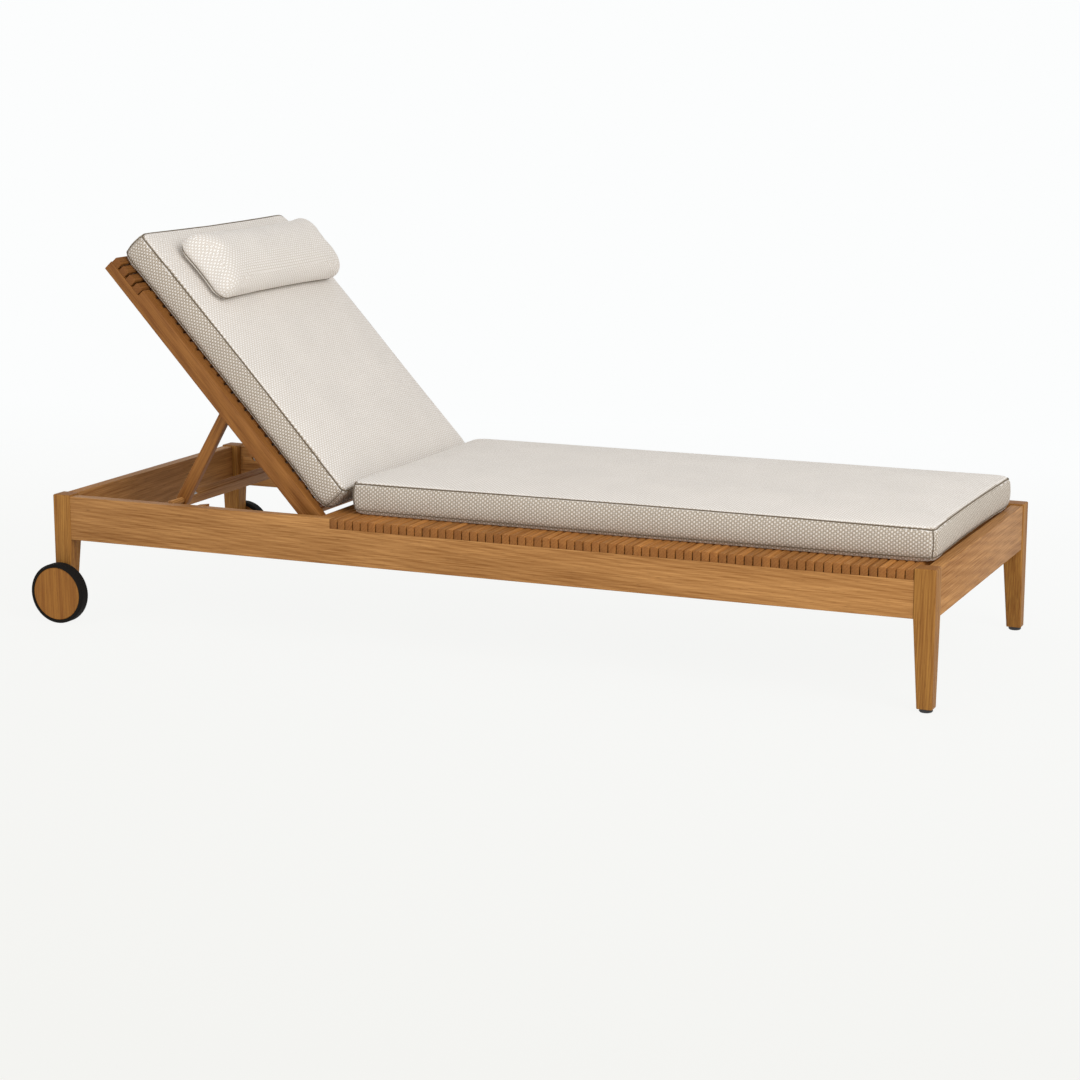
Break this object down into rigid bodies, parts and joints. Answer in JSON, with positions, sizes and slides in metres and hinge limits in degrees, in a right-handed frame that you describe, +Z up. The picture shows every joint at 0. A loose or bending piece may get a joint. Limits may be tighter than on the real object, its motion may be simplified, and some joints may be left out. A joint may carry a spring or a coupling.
{
  "type": "wooden sun lounger",
  "caption": "Slatted teak sun lounger with an adjustable backrest on a notched rack, two wheels, a seat and a back cushion and a headrest pillow.",
  "frame": {"origin": "on the ground, under the middle of the lounger's length and width", "axes": "+Z up, +X along the lounger from the head to the foot, +Y towards the far long side"},
  "size_m": [2.1064, 0.866, 0.8866],
  "materials": {
    "teak": "oiled",
    "teak_slats": "oiled",
    "teak_disc": "oiled",
    "tyre": "matte",
    "woven_fabric": "basket weave",
    "black_plastic": "matte",
    "nylon": "matte",
    "steel": "satin"
  },
  "bodies": {
    "frame": {"rail_near": "teak", "rail_far": "teak", "apron_head": "teak", "apron_foot": "teak", "leg_head_near": "teak", "leg_head_far": "teak", "leg_foot_near": "teak", "leg_foot_far": "teak", "glide_near": "black_plastic", "glide_far": "black_plastic", "seat_slats": "teak_slats", "seat_bearer_head": "teak", "seat_bearer_centre": "teak", "seat_stretcher": "teak", "rack_near": "teak", "rack_far": "teak", "rack_screws": "steel", "hinge_pin_near": "steel", "hinge_pin_far": "steel", "hinge_spacer_near": "black_plastic", "hinge_spacer_far": "black_plastic", "wheel_bolt_near": "steel", "wheel_bolt_far": "steel", "wheel_washer_near": "steel", "wheel_washer_far": "steel", "seat_cushion": "woven_fabric"},
    "backrest": {"back_rail_near": "teak", "back_rail_far": "teak", "back_slats": "teak_slats", "back_top_slats": "teak_slats", "back_bar_low": "teak", "back_bar_high": "teak", "back_bearer": "teak", "prop_pin_near": "steel", "prop_pin_far": "steel", "prop_washer_near": "steel", "prop_washer_far": "steel", "back_cushion": "woven_fabric", "headrest_pillow": "woven_fabric"},
    "prop": {"prop_arm_near": "teak", "prop_arm_far": "teak", "prop_bar": "teak", "prop_bracket_near": "steel", "prop_bracket_far": "steel"},
    "wheel_near": {"tyre_near": "tyre", "wheel_disc_near": "teak_disc", "hub_bush_near": "nylon", "wheel_cap_near": "teak_disc"},
    "wheel_far": {"tyre_far": "tyre", "wheel_disc_far": "teak_disc", "hub_bush_far": "nylon", "wheel_cap_far": "teak_disc"}
  },
  "joints": [
    {"name": "backrest_tilt", "type": "hinge", "parent": "frame", "child": "backrest", "pos_m": [-0.35675, 0, 0.269], "axis": [0, 1, 0], "range_deg": [-43.5, 6.5]},
    {"name": "prop_swing", "type": "hinge", "parent": "backrest", "child": "prop", "pos_m": [-0.59002, 0, 0.50284], "axis": [0, 1, 0], "range_deg": [-15.41, 103.1]},
    {"name": "wheel_near_spin", "type": "hinge", "parent": "frame", "child": "wheel_near", "pos_m": [-0.98425, -0.419, 0.069], "axis": [0, 1, 0], "continuous": true},
    {"name": "wheel_far_spin", "type": "hinge", "parent": "frame", "child": "wheel_far", "pos_m": [-0.98425, 0.419, 0.069], "axis": [0, 1, 0], "continuous": true}
  ],
  "couplings": [
    {"joint": "prop_swing", "follows": "backrest_tilt", "ratio": -2.3701}
  ]
}
